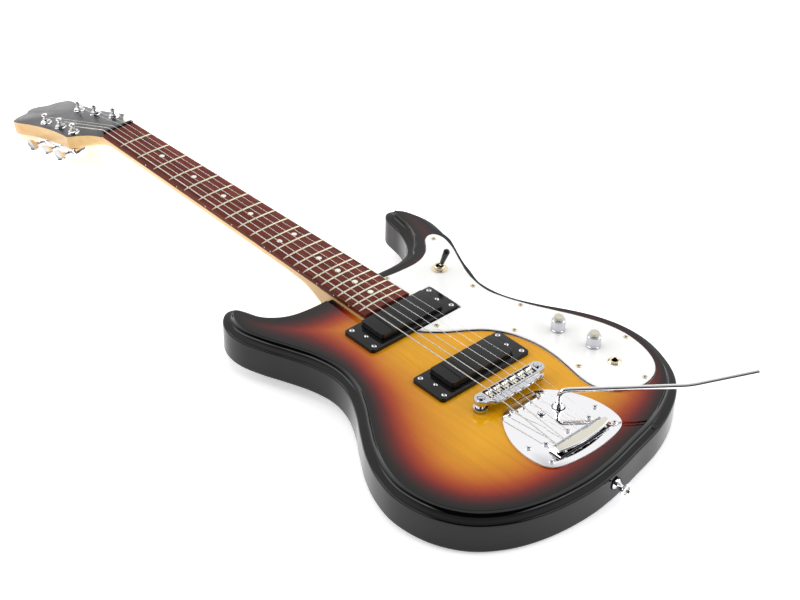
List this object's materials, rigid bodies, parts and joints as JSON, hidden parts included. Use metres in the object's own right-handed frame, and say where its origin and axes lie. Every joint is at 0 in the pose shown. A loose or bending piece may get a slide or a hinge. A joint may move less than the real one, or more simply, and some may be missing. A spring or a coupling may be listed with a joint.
{
  "type": "electric guitar",
  "caption": "Solid-body electric guitar with offset horns, sunburst top with a carved rim, bolt-on neck, angled headstock, tuning bridge and a vibrato tailpiece with an arm.",
  "frame": {"origin": "on the flat back of the body, on the centreline, below the bridge end of the scale", "axes": "+Y towards the headstock, +X to the treble side, +Z out of the top of the body"},
  "size_m": [0.3401, 0.9831, 0.1096],
  "materials": {
    "body_lacquer": "three-colour sunburst under clear gloss lacquer, black at the edge, sides and back",
    "maple": "clear satin lacquer, black gloss veneer on the headstock face",
    "rosewood": "oiled, with nickel-silver frets and pearl dots",
    "black_plastic": "gloss",
    "white_laminate": "gloss, white over black over white",
    "steel": "zinc plated",
    "chrome": "mirror chrome plating",
    "string_wire": "plain steel on the thin three, nickel wound on the thick three"
  },
  "bodies": {
    "guitar": {"body": "body_lacquer", "neck": "maple", "fretboard": "rosewood", "nut": "black_plastic", "pickup_ring_bridge": "black_plastic", "pickup_ring_neck": "black_plastic", "pickguard": "white_laminate", "truss_rod": "steel", "volume_pot": "steel", "tone_pot": "steel", "vibrato_spring": "steel", "neck_plate": "chrome", "output_jack": "chrome", "selector_switch": "chrome", "bridge_base": "chrome", "bridge_post_bass": "chrome", "bridge_post_treble": "chrome", "bridge_wheel_bass": "chrome", "bridge_wheel_treble": "chrome", "vibrato_plate": "chrome", "strap_button_tail": "chrome", "strap_button_horn": "chrome", "string_1": "string_wire", "string_2": "string_wire", "string_3": "string_wire", "string_4": "string_wire", "string_5": "string_wire", "string_6": "string_wire", "tuner_housing_bass_1": "chrome", "tuner_housing_bass_2": "chrome", "tuner_housing_bass_3": "chrome", "tuner_housing_treble_1": "chrome", "tuner_housing_treble_2": "chrome", "tuner_housing_treble_3": "chrome"},
    "volume_knob": {"volume_knob": "chrome"},
    "tone_knob": {"tone_knob": "chrome"},
    "selector_lever": {"selector_lever": "black_plastic"},
    "pickup_neck": {"pickup_neck": "black_plastic"},
    "pickup_bridge": {"pickup_bridge": "black_plastic"},
    "vibrato_rocker": {"vibrato_rocker": "chrome"},
    "vibrato_arm": {"vibrato_arm": "chrome"},
    "saddle_1": {"saddle_1": "chrome"},
    "saddle_2": {"saddle_2": "chrome"},
    "saddle_3": {"saddle_3": "chrome"},
    "saddle_4": {"saddle_4": "chrome"},
    "saddle_5": {"saddle_5": "chrome"},
    "saddle_6": {"saddle_6": "chrome"},
    "tuner_post_bass_1": {"tuner_post_bass_1": "chrome"},
    "tuner_button_bass_1": {"tuner_button_bass_1": "chrome"},
    "tuner_post_bass_2": {"tuner_post_bass_2": "chrome"},
    "tuner_button_bass_2": {"tuner_button_bass_2": "chrome"},
    "tuner_post_bass_3": {"tuner_post_bass_3": "chrome"},
    "tuner_button_bass_3": {"tuner_button_bass_3": "chrome"},
    "tuner_post_treble_1": {"tuner_post_treble_1": "chrome"},
    "tuner_button_treble_1": {"tuner_button_treble_1": "chrome"},
    "tuner_post_treble_2": {"tuner_post_treble_2": "chrome"},
    "tuner_button_treble_2": {"tuner_button_treble_2": "chrome"},
    "tuner_post_treble_3": {"tuner_post_treble_3": "chrome"},
    "tuner_button_treble_3": {"tuner_button_treble_3": "chrome"}
  },
  "joints": [
    {"name": "volume_turn", "type": "hinge", "parent": "guitar", "child": "volume_knob", "pos_m": [0.1042, 0.0339, 0.05], "axis": [0, 0, 1], "range_deg": [-140, 140]},
    {"name": "tone_turn", "type": "hinge", "parent": "guitar", "child": "tone_knob", "pos_m": [0.1116, -0.0062, 0.05], "axis": [0, 0, 1], "range_deg": [-140, 140]},
    {"name": "selector_flip", "type": "hinge", "parent": "guitar", "child": "selector_lever", "pos_m": [0.0872, 0.1842, 0.0426], "axis": [-1, 0, 0], "range_deg": [0, 40]},
    {"name": "pickup_neck_height", "type": "slide", "parent": "guitar", "child": "pickup_neck", "axis": [0, 0, 1], "range_m": [-0.003, 0.001]},
    {"name": "pickup_bridge_height", "type": "slide", "parent": "guitar", "child": "pickup_bridge", "axis": [0, 0, 1], "range_m": [-0.003, 0.001]},
    {"name": "saddle_1_intonation", "type": "slide", "parent": "guitar", "child": "saddle_1", "axis": [0, 1, 0], "range_m": [-0.0013, 0.0013]},
    {"name": "saddle_2_intonation", "type": "slide", "parent": "guitar", "child": "saddle_2", "axis": [0, 1, 0], "range_m": [-0.0013, 0.0013]},
    {"name": "saddle_3_intonation", "type": "slide", "parent": "guitar", "child": "saddle_3", "axis": [0, 1, 0], "range_m": [-0.0013, 0.0013]},
    {"name": "saddle_4_intonation", "type": "slide", "parent": "guitar", "child": "saddle_4", "axis": [0, 1, 0], "range_m": [-0.0013, 0.0013]},
    {"name": "saddle_5_intonation", "type": "slide", "parent": "guitar", "child": "saddle_5", "axis": [0, 1, 0], "range_m": [-0.0013, 0.0013]},
    {"name": "saddle_6_intonation", "type": "slide", "parent": "guitar", "child": "saddle_6", "axis": [0, 1, 0], "range_m": [-0.0013, 0.0013]},
    {"name": "vibrato_rock", "type": "hinge", "parent": "guitar", "child": "vibrato_rocker", "pos_m": [0, -0.078, 0.041], "axis": [1, 0, 0], "range_deg": [-2, 1.5], "stiffness_Nm_per_rad": 20, "deforming": ["vibrato_spring"]},
    {"name": "arm_swing", "type": "hinge", "parent": "vibrato_rocker", "child": "vibrato_arm", "pos_m": [0.0188, -0.0478, 0.042], "axis": [0, 0, 1], "range_deg": [-60, 45]},
    {"name": "button_bass_1_turn", "type": "hinge", "parent": "guitar", "child": "tuner_button_bass_1", "pos_m": [-0.0384, 0.68202, -0.00098], "axis": [1, 0, 0], "continuous": true},
    {"name": "post_bass_1_turn", "type": "hinge", "parent": "guitar", "child": "tuner_post_bass_1", "pos_m": [-0.0284, 0.68055, 0.02332], "axis": [0, 0.2706, 0.9627], "continuous": true},
    {"name": "button_bass_2_turn", "type": "hinge", "parent": "guitar", "child": "tuner_button_bass_2", "pos_m": [-0.0346, 0.71668, -0.01072], "axis": [1, 0, 0], "continuous": true},
    {"name": "post_bass_2_turn", "type": "hinge", "parent": "guitar", "child": "tuner_post_bass_2", "pos_m": [-0.0246, 0.7152, 0.01358], "axis": [0, 0.2706, 0.9627], "continuous": true},
    {"name": "button_bass_3_turn", "type": "hinge", "parent": "guitar", "child": "tuner_button_bass_3", "pos_m": [-0.0334, 0.75105, -0.02038], "axis": [1, 0, 0], "continuous": true},
    {"name": "post_bass_3_turn", "type": "hinge", "parent": "guitar", "child": "tuner_post_bass_3", "pos_m": [-0.0234, 0.74957, 0.00392], "axis": [0, 0.2706, 0.9627], "continuous": true},
    {"name": "button_treble_1_turn", "type": "hinge", "parent": "guitar", "child": "tuner_button_treble_1", "pos_m": [0.0384, 0.68202, -0.00098], "axis": [1, 0, 0], "continuous": true},
    {"name": "post_treble_1_turn", "type": "hinge", "parent": "guitar", "child": "tuner_post_treble_1", "pos_m": [0.0284, 0.68055, 0.02332], "axis": [0, 0.2706, 0.9627], "continuous": true},
    {"name": "button_treble_2_turn", "type": "hinge", "parent": "guitar", "child": "tuner_button_treble_2", "pos_m": [0.0346, 0.71668, -0.01072], "axis": [1, 0, 0], "continuous": true},
    {"name": "post_treble_2_turn", "type": "hinge", "parent": "guitar", "child": "tuner_post_treble_2", "pos_m": [0.0246, 0.7152, 0.01358], "axis": [0, 0.2706, 0.9627], "continuous": true},
    {"name": "button_treble_3_turn", "type": "hinge", "parent": "guitar", "child": "tuner_button_treble_3", "pos_m": [0.0334, 0.75105, -0.02038], "axis": [1, 0, 0], "continuous": true},
    {"name": "post_treble_3_turn", "type": "hinge", "parent": "guitar", "child": "tuner_post_treble_3", "pos_m": [0.0234, 0.74957, 0.00392], "axis": [0, 0.2706, 0.9627], "continuous": true}
  ],
  "couplings": [
    {"joint": "post_bass_1_turn", "follows": "button_bass_1_turn", "ratio": -0.071429},
    {"joint": "post_bass_2_turn", "follows": "button_bass_2_turn", "ratio": -0.071429},
    {"joint": "post_bass_3_turn", "follows": "button_bass_3_turn", "ratio": -0.071429},
    {"joint": "post_treble_1_turn", "follows": "button_treble_1_turn", "ratio": 0.071429},
    {"joint": "post_treble_2_turn", "follows": "button_treble_2_turn", "ratio": 0.071429},
    {"joint": "post_treble_3_turn", "follows": "button_treble_3_turn", "ratio": 0.071429}
  ]
}
